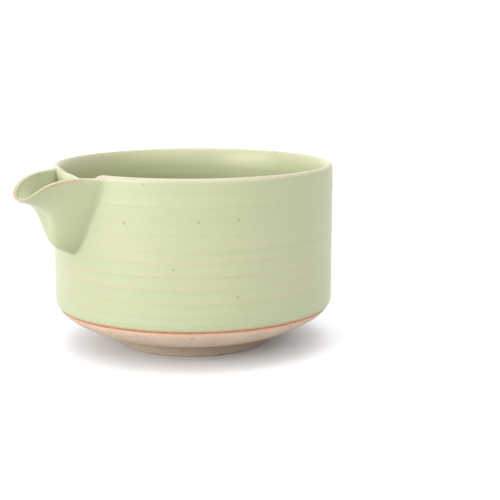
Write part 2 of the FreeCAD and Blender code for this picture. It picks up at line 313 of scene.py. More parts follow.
def weld(piece, reach):
    """Merges points within reach, drops faces that vanish, and turns all faces outwards."""
    work = bmesh.new()
    work.from_mesh(piece.data)
    bmesh.ops.remove_doubles(work, verts=work.verts, dist=reach)
    bmesh.ops.dissolve_degenerate(work, edges=work.edges, dist=reach / 10)
    bmesh.ops.recalc_face_normals(work, faces=work.faces)
    work.to_mesh(piece.data)
    work.free()


def angles(columns):
    """Angles of the columns of a turned piece, in one row."""
    return np.linspace(0, TURN, columns, endpoint=False)[None, :]


def turned_grid(outline, columns):
    """Radii and heights of an outline turned round Z, as (rows, columns) arrays."""
    return np.repeat(outline[:, :1], columns, axis=1), np.repeat(outline[:, 1:], columns, axis=1)


def turned_mesh(name, across, up, faces, marks, material, reach):
    """Welded object turned round Z from radii and heights in (rows, columns) arrays."""
    angle = angles(across.shape[1])
    points = np.stack([across * np.cos(angle), across * np.sin(angle), up], axis=-1).reshape(-1, 3)
    values = {mark: np.broadcast_to(value, across.shape).reshape(-1) for mark, value in marks.items()}
    piece = make_mesh(name, points, faces, values, material)
    weld(piece, reach)
    return piece


def turned_piece(name, across, up, marks, material, closed):
    """A turned piece that joins its last row to its first when closed.

    Otherwise both ends are on the axis, and each end row becomes one point.
    """
    rows, columns = across.shape
    faces = grid_faces(rows, columns, closed, True)
    return turned_mesh(name, across, up, faces, marks, material, 1e-6)


def closed_shell(name, across, up, marks, material, centre_row):
    """A turned shell closed along its edge; its two centre rows are single points."""
    rows, columns = across.shape
    across = across.copy()
    up = up.copy()
    for row in (centre_row - 1, centre_row):
        across[row] = 0
        up[row] = up[row].mean()
    faces = np.array(grid_faces(rows, columns, True, True))
    band = faces[:, 0] // columns
    faces = faces[band != centre_row - 1].tolist()
    return turned_mesh(name, across, up, faces, marks, material, 1e-7)


# ---- materials -----------------------------------------------------------------------
class Shader:
    """Builds one node material; sockets are joined by name."""

    def __init__(self, name):
        self.material = bpy.data.materials.new(name)
        self.material.use_nodes = True
        self.tree = self.material.node_tree
        self.surface = self.tree.nodes["Principled BSDF"]
        place = self.add("ShaderNodeTexCoord")
        scale = self.add("ShaderNodeMapping")
        scale.inputs["Scale"].default_value = (1 / MM, 1 / MM, 1 / MM)
        self.join(place.outputs["Object"], scale.inputs["Vector"])
        self.place = scale.outputs["Vector"]

    def add(self, kind):
        """A new node of this kind."""
        return self.tree.nodes.new(kind)

    def join(self, output, target):
        """Links an output to an input socket."""
        self.tree.links.new(output, target)

    def feed(self, value, target):
        """Gives an input socket a number, a colour, or another node's output."""
        if isinstance(value, (int, float)):
            target.default_value = value
        elif isinstance(value, tuple):
            target.default_value = (*value, 1.0)
        else:
            self.join(value, target)

    def stretched(self, x, y, z):
        """The place in millimetres, scaled apart along each axis."""
        node = self.add("ShaderNodeMapping")
        node.inputs["Scale"].default_value = (x, y, z)
        self.join(self.place, node.inputs["Vector"])
        return node.outputs["Vector"]

    def noise(self, scale, detail=3.0, rough=0.5, place=None):
        """Cloudy pattern; a higher scale makes it finer."""
        node = self.add("ShaderNodeTexNoise")
        node.inputs["Scale"].default_value = scale
        node.inputs["Detail"].default_value = detail
        node.inputs["Roughness"].default_value = rough
        self.join(place or self.place, node.inputs["Vector"])
        return node.outputs["Fac"]

    def cells(self, scale):
        """Voronoi cells: distance to the cell's point, and the cell's own colour."""
        node = self.add("ShaderNodeTexVoronoi")
        node.inputs["Scale"].default_value = scale
        self.join(self.place, node.inputs["Vector"])
        return node.outputs["Distance"], node.outputs["Color"]

    def ramp(self, value, start, end, low_value=0.0, high_value=1.0):
        """Soft step of a number from start to end."""
        node = self.add("ShaderNodeMapRange")
        node.interpolation_type = "SMOOTHSTEP"
        node.inputs["From Min"].default_value = start
        node.inputs["From Max"].default_value = end
        node.inputs["To Min"].default_value = low_value
        node.inputs["To Max"].default_value = high_value
        self.join(value, node.inputs["Value"])
        return node.outputs["Result"]

    def maths(self, kind, first, second):
        """Result of an operation on two numbers, each a number or an output."""
        node = self.add("ShaderNodeMath")
        node.operation = kind
        self.feed(first, node.inputs[0])
        self.feed(second, node.inputs[1])
        return node.outputs["Value"]

    def mix(self, factor, first, second):
        """Mix of two colours, each a colour or an output."""
        node = self.add("ShaderNodeMix")
        node.data_type = "RGBA"
        sockets = {item.identifier: item for item in node.inputs}
        self.feed(factor, sockets["Factor_Float"])
        self.feed(first, sockets["A_Color"])
        self.feed(second, sockets["B_Color"])
        return next(item for item in node.outputs if item.identifier == "Result_Color")

    def layer(self, colour, mask, amount, tint):
        """Lays a tint, in screen values, over a colour by this amount of the mask."""
        return self.mix(self.maths("MULTIPLY", mask, amount), colour, linear(*tint))

    def mark(self, name):
        """A number stored on the mesh's points."""
        node = self.add("ShaderNodeAttribute")
        node.attribute_name = name
        return node.outputs["Fac"]

    def part(self, socket, index):
        """Red, green or blue part of a colour."""
        node = self.add("ShaderNodeSeparateColor")
        self.join(socket, node.inputs["Color"])
        return node.outputs[index]

    def bump(self, value, depth, below=None):
        """Relief of the given depth in metres on top of another relief."""
        node = self.add("ShaderNodeBump")
        node.inputs["Strength"].default_value = 1.0
        node.inputs["Distance"].default_value = depth
        self.join(value, node.inputs["Height"])
        if below is not None:
            self.join(below, node.inputs["Normal"])
        return node.outputs["Normal"]

    def finish(self, colour, rough, normal):
        """Joins the outputs to the surface and gives back the material."""
        self.join(colour, self.surface.inputs["Base Color"])
        self.join(rough, self.surface.inputs["Roughness"])
        self.join(normal, self.surface.inputs["Normal"])
        return self.material


def linear(red, green, blue):
    """Colour from 0-255 screen values to the light values that shaders use."""
    parts = []
    for value in (red, green, blue):
        value /= 255
        parts.append(value / 12.92 if value <= 0.04045 else ((value + 0.055) / 1.055) ** 2.4)
    return tuple(parts)


def speck_mask(shader, scale, size, share, soft=0.25):
    """Round specks, up to size millimetres in radius, in a share of the cells of a pattern."""
    distance, colour = shader.cells(scale)
    chosen = shader.maths("LESS_THAN", shader.part(colour, 0), share)
    radius = shader.maths("MULTIPLY", shader.part(colour, 1), size * scale)
    inside = shader.maths("SUBTRACT", radius, distance)
    spot = shader.ramp(inside, 0.0, soft * size * scale)
    return shader.maths("MULTIPLY", spot, chosen)


# Colours as 0-255 screen values: the glaze with its marks and specks, clay, iron line.
GREEN, WARM_GREEN, COOL_GREEN = (154, 160, 125), (160, 159, 127), (149, 158, 124)
STREAK, MOTTLE, GRAIN = (168, 161, 132), (170, 166, 136), (128, 133, 100)
# POOL_AND_SHADE is glaze pooled in the grooves, and painted shade deeper inside the bowl and beside
# the spout.
# SEAM_POOL_AND_SHADE paints shade in the crease round the spout, on top of some pooled glaze.
# THIN_GLAZE_AND_LIGHT is thin glaze under the rim, and painted light in the spout's channel.
BARE, THIN_GLAZE_AND_LIGHT, POOL_AND_SHADE, SEAM_POOL_AND_SHADE = (168, 149, 126), (168, 171, 136), (137, 140, 93), (130, 131, 101)
# CREAM_AND_HIGHLIGHT is cream glaze at the rim, also used as a painted highlight at the end of the
# dip.
CREAM_AND_HIGHLIGHT, BLUSH, RUST, SPECK = (166, 157, 136), (170, 154, 131), (154, 117, 92), (118, 110, 70)
CLAY_BASE, CLAY_PALE, CLAY_DULL = (184, 164, 146), (192, 175, 156), (170, 151, 128)
CLAY_RUST, CLAY_SAND, CLAY_SPECK = (206, 150, 112), (150, 125, 98), (104, 80, 58)
IRON, IRON_DARK, IRON_LIGHT = (170, 108, 76), (155, 92, 62), (186, 134, 101)


def glaze_material(name):
    """Pale green satin glaze: thin and pinkish on ridges, cream at the rim, a few specks; with painted
    shade round the spout and inside, and painted light in the channel and at the end of the rim's dip.
    """
    s = Shader(name)
    patches = s.ramp(s.noise(0.05, 3.0, 0.6, place=s.stretched(1, 1, 1.6)), 0.35, 0.65)
    colour = s.layer(linear(*GREEN), patches, 0.6, WARM_GREEN)
    bands = s.ramp(s.noise(1.0, 3.0, 0.55, place=s.stretched(0.01, 0.01, 0.24)), 0.42, 0.62)
    colour = s.layer(colour, bands, 0.55, COOL_GREEN)
    streaks = s.noise(1.0, 4.0, 0.6, place=s.stretched(0.02, 0.02, 0.9))
    colour = s.mix(s.ramp(streaks, 0.52, 0.7, 0.0, 0.3), colour, linear(*STREAK))
    broken = s.ramp(s.noise(0.16, 4.0, 0.6), 0.36, 0.6, 0.3, 1.0)
    colour = s.layer(colour, s.maths("MULTIPLY", s.mark("bare"), broken), 0.72, BARE)
    grain = s.noise(2.2, 4.0, 0.65)
    colour = s.mix(s.ramp(grain, 0.35, 0.7, 0.0, 0.10), colour, linear(*GRAIN))
    mottle = s.ramp(s.noise(0.7, 3.0, 0.6), 0.5, 0.72, 0.0, 0.22)
    colour = s.mix(mottle, colour, linear(*MOTTLE))
    # Thin glaze under the rim, and painted light over the spout's channel.
    colour = s.layer(colour, s.mark("thin_glaze_and_light"), 0.9, THIN_GLAZE_AND_LIGHT)
    # Painted shade inside the bowl and beside the spout, plus glaze pooled in the grooves.
    colour = s.layer(colour, s.mark("pool_and_shade"), 0.65, POOL_AND_SHADE)
    ragged = s.ramp(s.noise(0.5, 4.0, 0.6), 0.25, 0.6, 0.7, 1.0)
    # Painted shade in the crease round the spout's root, partly pooled glaze.
    colour = s.layer(colour, s.mark("seam_pool_and_shade"), 0.45, SEAM_POOL_AND_SHADE)
    # Cream glaze at the rim, with a painted highlight at the end of the dip.
    colour = s.layer(colour, s.mark("cream_and_highlight"), ragged, CREAM_AND_HIGHLIGHT)
    blush = s.maths("MULTIPLY", s.mark("blush"), s.ramp(s.noise(0.12, 3.0), 0.35, 0.65, 0.3, 1.0))
    colour = s.layer(colour, blush, 0.7, BLUSH)
    colour = s.layer(colour, s.maths("MULTIPLY", s.mark("rust"), ragged), 0.75, RUST)
    large = speck_mask(s, 0.14, 1.15, 0.7, soft=0.6)
    fine = speck_mask(s, 0.5, 0.22, 0.12)
    colour = s.layer(colour, s.maths("MAXIMUM", large, fine), 0.6, SPECK)
    rough = s.ramp(s.noise(0.25, 3.0), 0.3, 0.7, 0.32, 0.39)
    relief = s.bump(streaks, 0.04 * MM)
    relief = s.bump(s.noise(0.9, 4.0, 0.6), 0.02 * MM, relief)
    relief = s.bump(s.maths("MULTIPLY", large, -1.0), 0.05 * MM, relief)
    s.surface.inputs["IOR"].default_value = 1.46
    return s.finish(colour, rough, relief)


def clay_material(name, shade):
    """Bare stoneware: sandy, finely speckled, ringed by the trimming tool; shade scales the whole
    colour darker.
    """
    s = Shader(name)
    tints = (CLAY_BASE, CLAY_PALE, CLAY_DULL)
    base, pale, dull = (linear(*(shade * np.array(tint))) for tint in tints)
    colour = s.mix(s.ramp(s.noise(0.12, 4.0, 0.6), 0.35, 0.65, 0.0, 0.7), base, pale)
    rings = s.noise(1.0, 3.0, 0.6, place=s.stretched(0.02, 0.02, 1.1))
    colour = s.mix(s.ramp(rings, 0.5, 0.7, 0.0, 0.35), colour, dull)
    colour = s.mix(s.ramp(s.noise(0.9, 3.0, 0.7), 0.42, 0.62, 0.0, 0.45), colour, dull)
    grain = s.noise(2.8, 5.0, 0.7)
    colour = s.mix(s.ramp(grain, 0.35, 0.7, 0.0, 0.35), colour, dull)
    colour = s.layer(colour, s.mark("rust"), 0.8, CLAY_RUST)
    sand = speck_mask(s, 1.1, 0.16, 0.30)
    specks = speck_mask(s, 0.34, 0.6, 0.9)
    colour = s.layer(colour, sand, 0.55, CLAY_SAND)
    colour = s.layer(colour, specks, 0.85, CLAY_SPECK)
    rough = s.ramp(grain, 0.3, 0.7, 0.78, 0.92)
    relief = s.bump(rings, 0.05 * MM)
    relief = s.bump(grain, 0.04 * MM, relief)
    relief = s.bump(s.maths("MULTIPLY", sand, -1.0), 0.04 * MM, relief)
    s.surface.inputs["Specular IOR Level"].default_value = 0.35
    return s.finish(colour, rough, relief)


def iron_material():
    """Rust-coloured flash between glaze and clay."""
    s = Shader("iron_oxide")
    colour = s.mix(s.ramp(s.noise(0.4, 4.0, 0.6), 0.35, 0.65), linear(*IRON), linear(*IRON_DARK))
    colour = s.mix(s.ramp(s.noise(2.0, 3.0), 0.5, 0.75, 0.0, 0.35), colour, linear(*IRON_LIGHT))
    rough = s.ramp(s.noise(1.0, 3.0), 0.3, 0.7, 0.5, 0.7)
    return s.finish(colour, rough, s.bump(s.noise(2.5, 3.0), 0.03 * MM))


glaze = glaze_material("pale_green_glaze")
stoneware = clay_material("stoneware", 1.0)
# Painted shade: the foot ring gets the same clay made darker, for the shade under the bowl.
foot_clay = clay_material("foot_clay", 0.91)
iron = iron_material()


# ---- glaze coat of the bowl ----------------------------------------------------------
def glaze_edge(angle):
    """Height of the lower edge of the outside glaze round the bowl."""
    tilt = 0.14 * np.cos(angle - math.radians(125))
    return EDGE_LOW + tilt + round_noise(angle, 8, (3, 5, 8, 13, 21), 0.09)


def inside_outline():
    """Inside of the bowl from the crest of the rim to the centre of the floor."""
    turn = np.radians(np.linspace(90, 180, 18)[1:])
    rim = np.column_stack([CREST + RIM_IN * np.cos(turn),
                           RIM_TOP - RIM_DEEP + RIM_DEEP * np.sin(turn)])
    corner_up = FLOOR + FLOOR_RISE + INNER_CORNER
    foot_of_wall = FLOOR_EDGE + INNER_CORNER - SKIN
    down = np.linspace(0, 1, 56)[1:]
    wall = np.column_stack([CREST - RIM_IN + (foot_of_wall - CREST + RIM_IN) * down,
                            RIM_TOP - RIM_DEEP + (corner_up - RIM_TOP + RIM_DEEP) * down])
    corner = arc((FLOOR_EDGE, corner_up), INNER_CORNER - SKIN, 0, -90, 24)[1:]
    run = np.linspace(1, 0, 20)[1:]
    floor = np.column_stack([FLOOR_EDGE * run, FLOOR + SKIN + FLOOR_RISE * run ** 2])
    return np.vstack([rim, wall, corner, floor])


def coat_outside(angle):
    """Outside of the coat, from the glaze edge up to the shoulder.

    Gives radii, heights, and how bare and how pooled the glaze is on the finger ridges.
    """
    plain = np.linspace(BEAD_TOP, SHOULDER - EDGE_LOW, COAT_ROWS)
    lift = np.array([height for height, thickness in BEAD] + list(plain))
    thick = np.array([thickness for height, thickness in BEAD] + [SKIN] * COAT_ROWS)[:, None]
    edge_share = smooth(lift, 0, 12)[:, None]
    up = EDGE_LOW + lift[:, None] + (glaze_edge(angle) - EDGE_LOW) * (1 - edge_share)
    across_part, up_part = clay_slope(up)
    bare, pooled = finger_ridges(angle, up)[1:]
    across = clay_radius(up) + thick * across_part + outer_rings(angle, up)
    return across, up + thick * up_part, bare, pooled


def coat_inside(angle):
    """Shown face from the shoulder over the rim and down to the centre of the floor."""
    rim = arc((CREST, SHOULDER), RIM_HALF, 0, 90, 13)[1:]
    across, up = turned_grid(np.vstack([rim, inside_outline()]), COAT_COLUMNS)
    return across - inner_rings(angle, up) * smooth(across, 25, 45), up


def coat_back(angle):
    """Hidden back of the coat, against the clay, from the centre to the glaze edge."""
    inner = inside_outline()[::-4] + [COAT_UNDER, 0]
    inner[:, 1] -= COAT_UNDER * (inner[:, 0] < FLOOR_EDGE + 8)
    over = [[CREST, RIM_TOP - 0.35], [WALL - 0.8, SHOULDER + 0.7]]
    down = np.column_stack([np.full(12, WALL - COAT_UNDER), np.linspace(SHOULDER, CORNER_TOP, 12)])
    across, up = turned_grid(np.vstack([inner, over, down]), COAT_COLUMNS)
    edge_up = glaze_edge(angle) + 0.6
    edge_across = clay_radius(edge_up) - 0.05
    return np.vstack([across, edge_across]), np.vstack([up, edge_up])


def rim_marks(angle, across, up):
    """Cream and blush marks on the rim, and a painted highlight at the end of the dip, worked out on
    the ideal shape.
    """
    dip = rim_dip(angle, 0.0)
    outer_side = across > CREST
    turn = np.degrees(np.arctan2(up - SHOULDER, across - CREST))
    cream_and_highlight = bell(turn, 48, 34) * (up > SHOULDER)
    cream_and_highlight += 0.18 * smooth(up, SHOULDER - 1.6, SHOULDER) * (up <= SHOULDER) * outer_side
    cream_and_highlight = cream_and_highlight * (0.92 + round_noise(angle, 71, (5, 9, 14, 23), 0.16))
    cream_and_highlight = cream_and_highlight * (1 - 0.75 * dip / DIP_OUT)
    # Painted highlight: a pale spot on the rounded end of the dip, on top of the cream glaze there.
    dip_end_highlight = bell(angle, DIP_END, 0.07) * smooth(up, SHOULDER - 1.5, SHOULDER + 0.5)
    cream_and_highlight = np.maximum(cream_and_highlight, 0.7 * dip_end_highlight)
    blush = bell(RIM_TOP - up, 1.0, 2.2) * smooth(CREST - across, -0.2, 0.9)
    blush = blush * (0.25 + 0.75 * bell(angle, BESIDE_SPOUT, 0.4)) * (1 - 0.6 * dip / DIP_OUT)
    run_line = bell(up - SHOULDER + 0.5 + round_noise(angle, 72, (3, 7, 12), 0.2), 0, 0.32)
    blush += 0.5 * run_line * outer_side * (0.6 + round_noise(angle, 73, (4, 9, 17, 29), 0.5))
    return cream_and_highlight, blush


def depth_marks(angle, across, up, pooled):
    """Where the glaze ran thin under the rim and pooled in the grooves, and painted shade deeper
    inside and beside the spout.
    """
    depth = RIM_TOP - up
    inside = inside_share(across) * (across < CREST)
    beside_spout = bell(angle, BESIDE_SPOUT, 0.4)
    # Painted shade: beside the spout the pale band under the rim is weaker, and the wall darkens from
    # 7 mm below the rim and beside the spout; only the groove term is pooled glaze.
    thin_glaze_and_light = inside * (1 - smooth(depth, 4, 15)) * (1 - 0.6 * beside_spout)
    pool_and_shade = inside * smooth(depth, 7, 22) * (1 - 0.6 * smooth(depth, 28, 50))
    pool_and_shade += 0.75 * inside * beside_spout * hump(depth, 3, 9, 15, 30)
    pool_and_shade += GROOVE_POOL * pooled * smooth(up, EDGE_LOW + 2, EDGE_LOW + 6)
    return thin_glaze_and_light, pool_and_shade


def make_coat():
    """One closed shell of glaze: up the outside, over the rim, down the inside, and back."""
    angle = angles(COAT_COLUMNS)
    outside_across, outside_up, bare, pooled = coat_outside(angle)
    inner_across, inner_up = coat_inside(angle)
    back_across, back_up = coat_back(angle)
    across = np.vstack([outside_across, inner_across, back_across])
    up = np.vstack([outside_up, inner_up, back_up])
    no_ridges = np.zeros((len(across) - len(bare), COAT_COLUMNS))
    bare = np.vstack([bare, no_ridges])
    pooled = np.vstack([pooled, no_ridges])
    cream_and_highlight, blush = rim_marks(angle, across, up)
    thin_glaze_and_light, pool_and_shade = depth_marks(angle, across, up, pooled)
    rust = (1 - smooth(np.abs(up - glaze_edge(angle)), 0.05, 0.75)) * (across > 55)
    marks = {"cream_and_highlight": cream_and_highlight, "blush": blush, "rust": rust * 0.8, "bare": bare,
             "thin_glaze_and_light": thin_glaze_and_light, "pool_and_shade": pool_and_shade}
    across, up = settle(across, up, angle, inside_share(across))
    centre_row = len(outside_across) + len(inner_across)
    return closed_shell("glaze_coat", across, up, marks, glaze, centre_row)


coat = make_coat()
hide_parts("outer_glaze", "liner_glaze")
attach(coat, "root")


# ---- clay body -----------------------------------------------------------------------
def limb_points(count):
    """The bowed underside, from the foot to the outside corner."""
    start = np.array([LIMB_IN, LIMB_LOW])
    end = np.array([LIMB_OUT, LIMB_UP])
    chord = end - start
    length = np.hypot(*chord)
    side = np.array([-chord[1], chord[0]]) / length
    centre = (start + end) / 2 + side * math.sqrt(LIMB_BOW ** 2 - (length / 2) ** 2)
    first = math.degrees(math.atan2(*(start - centre)[::-1]))
    last = math.degrees(math.atan2(*(end - centre)[::-1]))
    return arc(centre, LIMB_BOW, first, last, count)


def body_outline():
    """Outline of the clay, from the centre of the underside round to that of the floor.

    Gives the points, and how many of them are on the bare underside.
    """
    run = np.linspace(0, 1, 26)
    recess = np.column_stack([FOOT_IN * run, RECESS + RECESS_DISH * (1 - run ** 2)])
    run = np.linspace(0, 1, 5)[1:]
    seat = np.column_stack([FOOT_IN + (FOOT_WIDE - FOOT_IN) * run, RECESS + (FOOT_TOP - RECESS) * run])
    run = np.linspace(0, 1, 18)[1:]
    neck = np.column_stack([FOOT_WIDE + (LIMB_IN - FOOT_WIDE) * run,
                            FOOT_TOP + (LIMB_LOW - FOOT_TOP) * run ** 1.15])
    limb = limb_points(56)[1:]
    corner_up = LIMB_UP + (GLAZE_LOW + 1.6 - LIMB_UP) * np.linspace(0, 1, 24)[1:]
    corner = np.column_stack([clay_radius(corner_up), corner_up])
    bare = np.vstack([recess, seat, neck, limb, corner])
    wall_up = np.linspace(GLAZE_LOW + 3, SHOULDER, 12)
    wall = np.column_stack([clay_radius(wall_up), wall_up])
    rim = arc((CREST, SHOULDER), RIM_HALF - SKIN, 0, 90, 7)[1:]
    under_glaze = inside_outline()[::4] + [SKIN, -SKIN]
    under_glaze[-1, 0] = 0
    return np.vstack([bare, wall, rim, under_glaze]), len(bare)


def make_body():
    """Clay of the bowl: trimmed underside, and the plain clay under the glaze."""
    angle = angles(BODY_COLUMNS)
    outline, bare_count = body_outline()
    across, up = turned_grid(outline, BODY_COLUMNS)
    shown = (np.arange(len(outline)) < bare_count)[:, None]
    # Rings of the trimming tool, pressed in along the underside.
    travel = np.cumsum(np.hypot(*np.diff(outline, axis=0, prepend=outline[:1]).T))[:, None]
    rings = waves(angle, travel, 21, (1.3, 2.1, 3.4, 6.0), (0.015, 0.02, 0.03, 0.03))
    on_limb = smooth(across, FOOT_WIDE, FOOT_WIDE + 3) * (1 - smooth(up, GLAZE_LOW - 2, GLAZE_LOW))
    in_recess = 1 - smooth(across, FOOT_IN - 4, FOOT_IN - 1)
    up = up + rings * shown * np.maximum(on_limb, in_recess * smooth(across, 0.5, 3))
    rust = 1 - smooth(glaze_edge(angle) - up, 0.6, 3.2)
    rust = rust * (across > 50) * shown
    across, up = settle(across, up, angle, inside_share(across))
    across[0] = across[-1] = 0
    up[0] = up[0].mean()
    up[-1] = up[-1].mean()
    return turned_piece("bowl_clay", across, up, {"rust": rust * 0.5}, stoneware, False)


body = make_body()
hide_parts("bowl_body")
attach(body, "root")


# ---- foot ring -----------------------------------------------------------------------
def foot_outline():
    """Closed outline of the foot ring, from its inner lower edge outwards and back."""
    inner_foot = FOOT_IN + FOOT_FLARE
    bottom_in = arc((inner_foot + FOOT_ROUND, FOOT_ROUND), FOOT_ROUND, 180, 270, 9)
    flat_across = np.linspace(inner_foot + FOOT_ROUND, FOOT_EDGE - FOOT_ROUND, 10)[1:-1]
    flat = np.column_stack([flat_across, np.zeros(len(flat_across))])
    bottom_out = arc((FOOT_EDGE - FOOT_ROUND, FOOT_ROUND), FOOT_ROUND, 270, 360, 9)
    side = np.linspace(0, 1, 12)[1:]
    outer = np.column_stack([FOOT_EDGE + (FOOT_WIDE - FOOT_EDGE) * side,
                             FOOT_ROUND + (FOOT_TOP - FOOT_ROUND) * side])
    top = np.array([[FOOT_WIDE - 0.3, FOOT_TOP + 0.25], [FOOT_IN + 0.1, RECESS + 0.3]])
    inner = np.column_stack([FOOT_IN + FOOT_FLARE * side,
                             RECESS + 0.1 + (FOOT_ROUND - RECESS - 0.1) * side])[:-1]
    return np.vstack([bottom_in, flat, bottom_out, outer, top, inner])


def make_foot():
    """Foot ring: cut square, its lower edges wiped round, standing on the table."""
    angle = angles(FOOT_COLUMNS)
    across, up = turned_grid(foot_outline(), FOOT_COLUMNS)
    low_part = 1 - smooth(up, 0.5, 3.5)
    across = across + round_noise(angle, 31, (2, 3, 7, 11), 0.05) * low_part
    across = across + waves(angle, up, 32, (0.9, 1.6), (0.02, 0.03)) * smooth(up, 0.5, 1.2)
    up = up + round_noise(angle, 33, (3, 5, 9), 0.02) * smooth(up, 0.05, 1.0)
    return turned_piece("foot_ring_clay", across, up, {"rust": np.zeros_like(up)}, foot_clay, True)


foot = make_foot()
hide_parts("foot_ring")
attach(foot, "root")


# ---- iron line -----------------------------------------------------------------------
def make_line():
    """Uneven thin band of iron just under the glaze, tucked in at its upper edge."""
    angle = angles(LINE_COLUMNS)
    top = glaze_edge(angle) + LINE_UNDER
    height = LINE_HIGH + round_noise(angle, 41, (4, 7, 11, 19, 31), 0.16)
    part = np.linspace(0, 1, 9)[:, None]
    front_up = top - height * part
    stand = LINE_STAND * np.sqrt(np.clip(1 - (2 * part - 1) ** 4, 0, 1))
    across_part, up_part = clay_slope(front_up)
    front = clay_radius(front_up) + stand * across_part
    back_up = top - height * part[::-1]
    back = clay_radius(back_up) - 0.08
    across = np.vstack([front, back])
    up = np.vstack([front_up + stand * up_part, back_up])
    across, up = settle(across, up, angle, np.zeros_like(up))
    return turned_piece("iron_band", across, up, {}, iron, True)


line = make_line()
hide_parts("iron_line")
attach(line, "root")


# ---- spout ---------------------------------------------------------------------------
def bezier(pulls, part):
    """Points at the given parts of the curve with these control points, (n, 3)."""
    pulls = np.asarray(pulls, float)
    order = len(pulls) - 1
    part = np.asarray(part)[:, None]
    total = 0
    for index, pull in enumerate(pulls):
        weight = math.comb(order, index) * part ** index * (1 - part) ** (order - index)
        total = total + weight * pull
    return total


def soft_max(first, second, reach):
    """The larger of two numbers, rounded where they are within reach of each other."""
    near = np.maximum(reach - np.abs(first - second), 0)
    return np.maximum(first, second) + near ** 2 / (4 * np.maximum(reach, 1e-6))


def wall_surface(angle, up):
    """Radius of the glazed wall's outer face, rounding over at the rim."""
    above = np.clip(up - SHOULDER, 0, RIM_HALF)
    rounding = RIM_HALF - np.sqrt(RIM_HALF ** 2 - above ** 2)
    return WALL - rounding + outer_rings(angle, up) + out_of_round(angle)


def spout_curves(part):
    """Outer and inner edge of the lip, keel and channel floor, at each part of the spout."""
    root = np.minimum(part, 0)[:, None] / part[0]
    ahead = np.clip(part, 0, 1)
    crest = bezier(LIP, ahead) + root * LIP_INTO_WALL
    along = bezier(LIP, ahead + 0.001) - bezier(LIP, ahead - 0.001)
    along[:, 2] = 0
    along /= np.linalg.norm(along, axis=1)[:, None]
    outward = np.column_stack([-along[:, 1], along[:, 0], np.zeros(len(part))])
    keel = bezier(KEEL, ahead) + root * KEEL_INTO_WALL
    floor = bezier(KEEL + CHANNEL_SHIFT, ahead)
    outer_lip = crest + outward * LIP_ROUND - [0, 0, LIP_ROUND]
    thickness = (LIP_THICK[0] + (LIP_THICK[1] - LIP_THICK[0]) * ahead)[:, None]
    inner_lip = bezier(LIP, ahead) + outward * (LIP_ROUND - thickness) - [0, 0, LIP_ROUND]
    inner_lip = inner_lip + CORNER_FILL * (1 - smooth(ahead, 0.0, CORNER_LONG))[:, None] * ALONG_WALL
    return outer_lip, inner_lip, keel, floor


def section(keel, lip, side, power):
    """Points between keel and lip; side runs from -1 to 1 across the section."""
    reach = (side ** 2 + ROUND_KEEL ** 2) ** (power / 2)
    start = ROUND_KEEL ** power
    rise = (reach - start) / ((1 + ROUND_KEEL ** 2) ** (power / 2) - start)
    points = keel[:, None, :] + (lip - keel)[:, None, :] * rise[..., None]
    points[..., 1] = lip[:, None, 1] * side
    return points


def spout_loop(part, side, turn):
    """Rows of points round the spout: outside, near lip, channel, far lip; and its outer lip.

    part runs along the spout, side across it and turn over the round of the lip. The
    first coordinate is out from the bowl's axis.
    """
    outer_lip, inner_lip, keel, floor = spout_curves(part)
    power = (ROOT_SHAPE + (TIP_SHAPE - ROOT_SHAPE) * np.clip(part, 0, 1) ** SHAPE_DELAY)[:, None]
    outside = section(keel, outer_lip, side[None, :], power)
    channel = section(floor, inner_lip, -side[None, :], power * 0.6 + 0.8)
    middle = ((outer_lip + inner_lip) / 2)[:, None]
    half = ((outer_lip - inner_lip) / 2)[:, None]
    lip = middle + half * np.cos(turn)[:, None] + np.array([0, 0, LIP_ROUND]) * np.sin(turn)[:, None]
    return np.concatenate([outside, lip * MIRROR, channel, lip[:, ::-1]], axis=1), outer_lip


def spout_marks(loop, outer_lip, part, over, sides, from_wall):
    """Marks for the glaze of the spout.

    over is 0 on the outside, 1 in the channel and between the two on the lip; sides is
    -1 at the near lip and 1 at the far one; from_wall is how far a point is off the wall.
    """
    up = loop[..., 2]
    outside = over == 0
    below = np.linalg.norm(loop - outer_lip_of(loop, outer_lip), axis=-1)
    ring = np.where(outside, -below, over * 3.0)
    over_far = 0.9 * smooth(sides, -0.2, 0.6)
    rust = smooth(ring, -0.5, 0.1) * (1 - smooth(ring - over_far, 0.35, 1.0))
    cream_and_highlight = 0.2 * hump(ring, 0.5, 1.0, 1.2, 2.2) * (over < 1)
    away = smooth(part, 0.02, 0.2)[:, None]
    # Painted shade along the crease where the spout meets the wall, partly pooled glaze; weaker
    # towards the rim.
    seam_pool_and_shade = bell(from_wall, 0, np.where(from_wall < 0, 1.2, 2.1))
    seam_pool_and_shade = seam_pool_and_shade * (1 - 0.6 * smooth(up, 64, 78))
    on_wall = (1 - smooth(from_wall, -2.0, 0.0)) * outside
    bare, pooled = finger_ridges(np.arctan2(loop[..., 1], -loop[..., 0]), up)[1:]
    # Painted light: the whole channel is made paler, standing in for light that does not reach into
    # it.
    in_channel = np.broadcast_to(over == 1, rust.shape)
    return {"cream_and_highlight": cream_and_highlight, "blush": rust * (1 - away), "rust": rust * away,
            "thin_glaze_and_light": 0.5 * in_channel, "bare": bare * on_wall,
            "pool_and_shade": GROOVE_POOL * pooled * on_wall, "seam_pool_and_shade": seam_pool_and_shade * outside}


